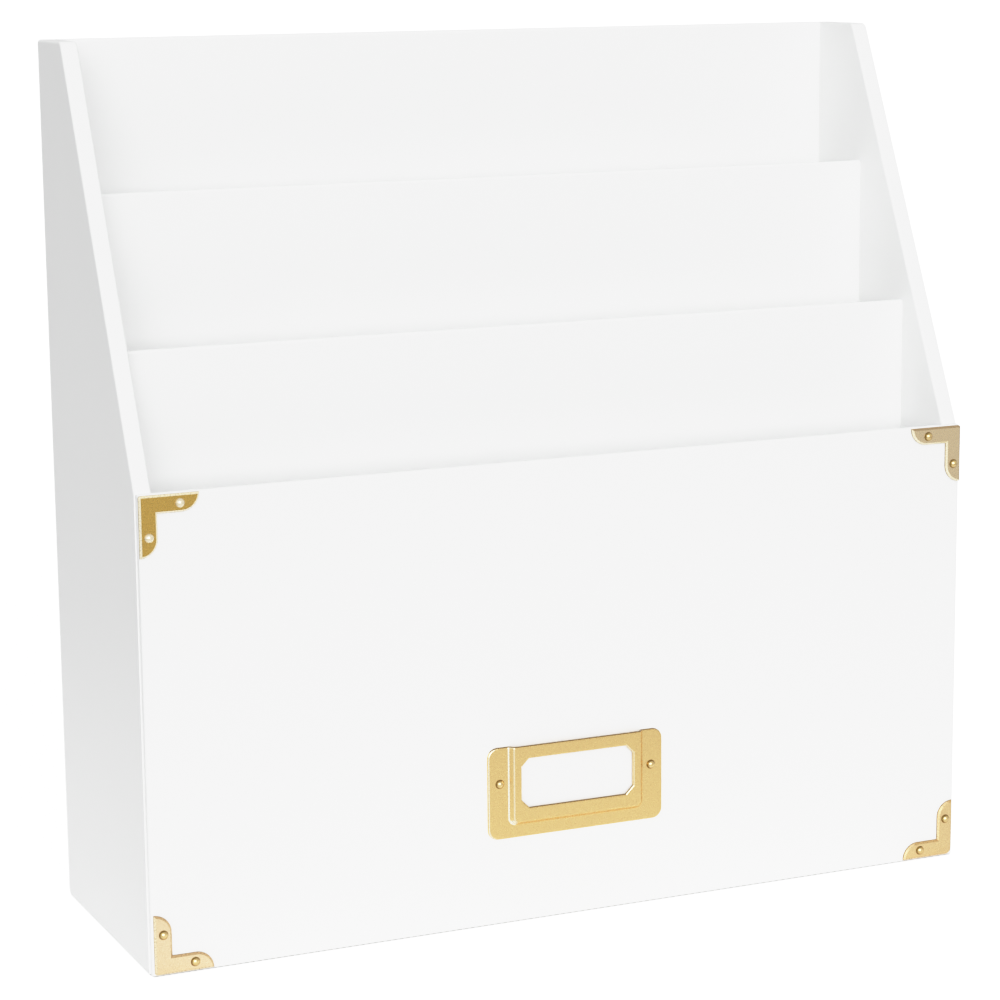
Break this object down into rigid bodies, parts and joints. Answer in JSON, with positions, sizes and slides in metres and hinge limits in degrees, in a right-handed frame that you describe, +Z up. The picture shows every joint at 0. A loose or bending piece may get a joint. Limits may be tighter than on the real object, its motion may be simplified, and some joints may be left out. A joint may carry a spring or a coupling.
{
  "type": "magazine file holder",
  "caption": "Desktop magazine and letter file: a white lacquered box of boards with upright pockets that step up to the back, brass-coloured corner plates and a label holder.",
  "frame": {"origin": "on the ground, below the middle of the whole holder with its hardware", "axes": "+X to the right of a person facing the front, +Y from the front to the back, +Z up"},
  "size_m": [0.33, 0.1068, 0.3235],
  "materials": {
    "lacquered_board": "satin white lacquer over medium-density fibreboard, edges sanded round",
    "brass_plate": "satin brass plating on pressed sheet, with bright bevelled rims",
    "brass_pins": "polished brass plating on domed heads",
    "card": "plain uncoated white card",
    "brad_steel": "plain bright steel wire"
  },
  "bodies": {
    "holder": {"back_brads_base": "brad_steel", "back_panel": "lacquered_board", "base_panel": "lacquered_board", "bracket_pins_bottom_left": "brass_pins", "bracket_pins_bottom_right": "brass_pins", "bracket_pins_top_left": "brass_pins", "bracket_pins_top_right": "brass_pins", "corner_bracket_bottom_left": "brass_plate", "corner_bracket_bottom_right": "brass_plate", "corner_bracket_top_left": "brass_plate", "corner_bracket_top_right": "brass_plate", "front_brads_base": "brad_steel", "front_brads_left": "brad_steel", "front_brads_right": "brad_steel", "front_divider": "lacquered_board", "front_panel": "lacquered_board", "label_holder": "brass_plate", "label_holder_pins": "brass_pins", "rear_divider": "lacquered_board", "side_brads_left": "brad_steel", "side_brads_right": "brad_steel", "side_panel_left": "lacquered_board", "side_panel_right": "lacquered_board"},
    "card": {"label_card": "card"}
  },
  "joints": [
    {"name": "label_card_slide", "type": "slide", "parent": "holder", "child": "card", "axis": [0, 0, 1], "range_m": [0, 0.03]}
  ]
}
